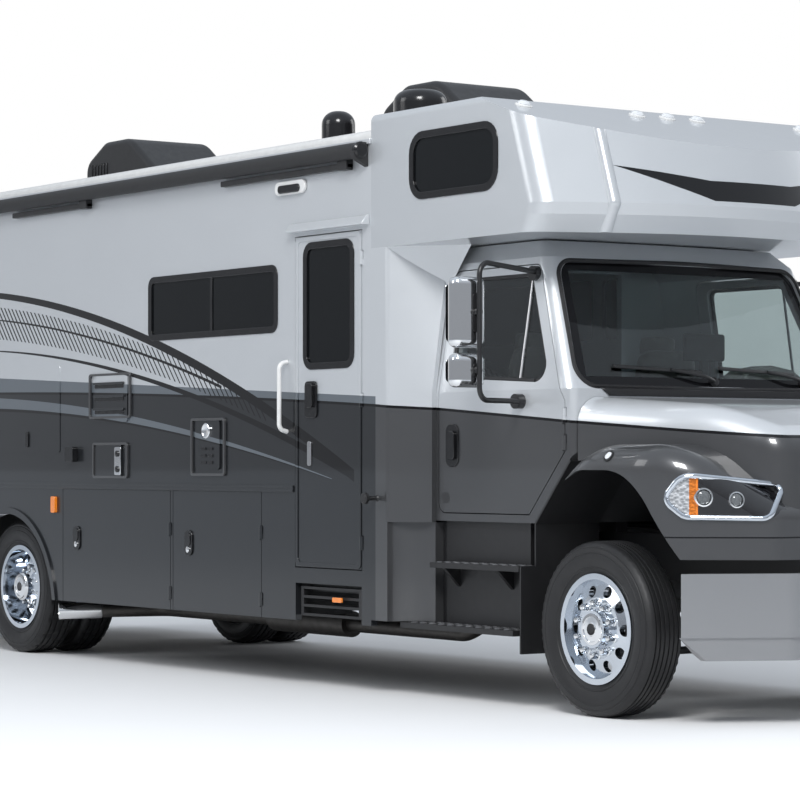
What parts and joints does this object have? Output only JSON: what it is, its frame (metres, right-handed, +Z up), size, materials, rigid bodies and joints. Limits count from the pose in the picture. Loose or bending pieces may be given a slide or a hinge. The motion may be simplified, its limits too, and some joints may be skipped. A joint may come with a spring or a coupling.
{
  "type": "motorhome on a truck chassis",
  "caption": "Motorhome with an over-cab bunk on a conventional truck chassis, with opening doors, tilting hood, steered front wheels and twin rear wheels",
  "frame": {"origin": "on the ground, under the middle of the overall length and width", "axes": "+X forward, +Y to the left of the vehicle, +Z up"},
  "size_m": [10.1, 3.2, 3.796],
  "materials": {
    "coach_paint": "gloss",
    "cap_paint": "gloss",
    "cab_paint": "gloss",
    "hood_paint": "gloss",
    "bumper_silver": "satin",
    "roof_white": "satin",
    "coach_inner": "matte",
    "floor_board": "matte",
    "chassis_black": "satin",
    "cast_grey": "matte",
    "tank_alloy": "satin",
    "step_black": "satin",
    "clear_glass": "gloss",
    "dark_glass": "gloss",
    "interior_grey": "matte",
    "seat_trim": "matte",
    "black_plastic": "satin",
    "white_plastic": "gloss",
    "awning_black": "satin",
    "chrome": "polished",
    "wheel_alloy": "polished",
    "tyre_black": "matte",
    "exhaust_steel": "satin",
    "lamp_clear": "gloss",
    "lamp_red": "gloss"
  },
  "bodies": {
    "chassis": {"air_conditioners": "black_plastic", "awning": "awning_black", "baggage_boxes": "floor_board", "cab_fairings": "coach_paint", "cab_shell": "cab_paint", "cab_steps": "step_black", "coach_floor": "floor_board", "coach_roof": "roof_white", "coach_wall_front": "coach_inner", "coach_wall_left": "coach_paint", "coach_wall_rear": "coach_paint", "coach_wall_right": "coach_paint", "coach_windows": "dark_glass", "dashboard": "interior_grey", "driveshaft": "chassis_black", "engine": "cast_grey", "entry_step": "step_black", "exhaust": "exhaust_steel", "frame_rails": "chassis_black", "front_axle": "chassis_black", "front_bumper": "bumper_silver", "front_cap": "cap_paint", "grab_handle": "white_plastic", "hitch_receiver": "chassis_black", "leaf_springs": "chassis_black", "rear_axle": "chassis_black", "rear_bumper": "coach_paint", "roof_fittings": "black_plastic", "seats": "seat_trim", "service_panels": "coach_paint", "side_tanks": "tank_alloy", "tail_lamps": "lamp_red", "wheel_liners": "black_plastic", "windshield": "clear_glass"},
    "front_wheel_right": {"tyre_front_right": "tyre_black", "wheel_front_right": "wheel_alloy"},
    "rear_wheels_right": {"tyres_rear_right": "tyre_black", "wheels_rear_right": "wheel_alloy"},
    "steering_knuckle_right": {"knuckle_right": "chassis_black"},
    "cab_door_body_right": {"cab_door_right": "cab_paint", "cab_glass_right": "clear_glass", "mirror_right": "chrome"},
    "baggage_rear_right": {"baggage_door_rear_right": "coach_paint"},
    "baggage_front_right": {"baggage_door_front_right": "coach_paint"},
    "front_wheel_left": {"tyre_front_left": "tyre_black", "wheel_front_left": "wheel_alloy"},
    "rear_wheels_left": {"tyres_rear_left": "tyre_black", "wheels_rear_left": "wheel_alloy"},
    "steering_knuckle_left": {"knuckle_left": "chassis_black"},
    "cab_door_body_left": {"cab_door_left": "cab_paint", "cab_glass_left": "clear_glass", "mirror_left": "chrome"},
    "baggage_rear_left": {"baggage_door_rear_left": "coach_paint"},
    "baggage_front_left": {"baggage_door_front_left": "coach_paint"},
    "track_rod": {"tie_rod": "chassis_black"},
    "hood": {"hood_shell": "hood_paint", "grille": "chrome", "headlamps": "lamp_clear"},
    "entry_door_body": {"entry_door": "coach_paint", "entry_glass": "dark_glass"}
  },
  "joints": [
    {"name": "steer_right", "type": "hinge", "parent": "chassis", "child": "steering_knuckle_right", "pos_m": [4.03, -0.88, 0.478], "axis": [0, 0, 1], "range_deg": [-40, 40]},
    {"name": "steer_left", "type": "hinge", "parent": "chassis", "child": "steering_knuckle_left", "pos_m": [4.03, 0.88, 0.478], "axis": [0, 0, 1], "range_deg": [-40, 40]},
    {"name": "track_rod_swing", "type": "hinge", "parent": "steering_knuckle_right", "child": "track_rod", "pos_m": [3.78, -0.88, 0.3195], "axis": [0, 0, 1], "range_deg": [-40, 40]},
    {"name": "front_wheel_right_spin", "type": "hinge", "parent": "steering_knuckle_right", "child": "front_wheel_right", "pos_m": [4.03, -1.028, 0.478], "axis": [0, 1, 0], "continuous": true},
    {"name": "rear_wheels_right_spin", "type": "hinge", "parent": "chassis", "child": "rear_wheels_right", "pos_m": [-2.53, -0.919, 0.478], "axis": [0, 1, 0], "continuous": true},
    {"name": "cab_door_right_hinge", "type": "hinge", "parent": "chassis", "child": "cab_door_body_right", "pos_m": [3.69, -1.075, 1.62], "axis": [0, 0, 1], "range_deg": [0, 70]},
    {"name": "baggage_rear_right_hinge", "type": "hinge", "parent": "chassis", "child": "baggage_rear_right", "pos_m": [-0.226, -1.2825, 0.75], "axis": [0, 0, 1], "range_deg": [0, 90]},
    {"name": "baggage_front_right_hinge", "type": "hinge", "parent": "chassis", "child": "baggage_front_right", "pos_m": [0.894, -1.2825, 0.75], "axis": [0, 0, 1], "range_deg": [0, 90]},
    {"name": "front_wheel_left_spin", "type": "hinge", "parent": "steering_knuckle_left", "child": "front_wheel_left", "pos_m": [4.03, 1.028, 0.478], "axis": [0, 1, 0], "continuous": true},
    {"name": "rear_wheels_left_spin", "type": "hinge", "parent": "chassis", "child": "rear_wheels_left", "pos_m": [-2.53, 0.919, 0.478], "axis": [0, 1, 0], "continuous": true},
    {"name": "cab_door_left_hinge", "type": "hinge", "parent": "chassis", "child": "cab_door_body_left", "pos_m": [3.69, 1.075, 1.62], "axis": [0, 0, -1], "range_deg": [0, 70]},
    {"name": "baggage_rear_left_hinge", "type": "hinge", "parent": "chassis", "child": "baggage_rear_left", "pos_m": [-0.226, 1.2825, 0.75], "axis": [0, 0, -1], "range_deg": [0, 90]},
    {"name": "baggage_front_left_hinge", "type": "hinge", "parent": "chassis", "child": "baggage_front_left", "pos_m": [0.894, 1.2825, 0.75], "axis": [0, 0, -1], "range_deg": [0, 90]},
    {"name": "hood_tilt", "type": "hinge", "parent": "chassis", "child": "hood", "pos_m": [5, 0, 0.845], "axis": [0, 1, 0], "range_deg": [0, 60]},
    {"name": "entry_door_hinge", "type": "hinge", "parent": "chassis", "child": "entry_door_body", "pos_m": [2.01, -1.2825, 1.75], "axis": [0, 0, 1], "range_deg": [0, 100]}
  ],
  "couplings": [
    {"joint": "steer_left", "follows": "steer_right", "ratio": 1},
    {"joint": "track_rod_swing", "follows": "steer_right", "ratio": -1}
  ]
}
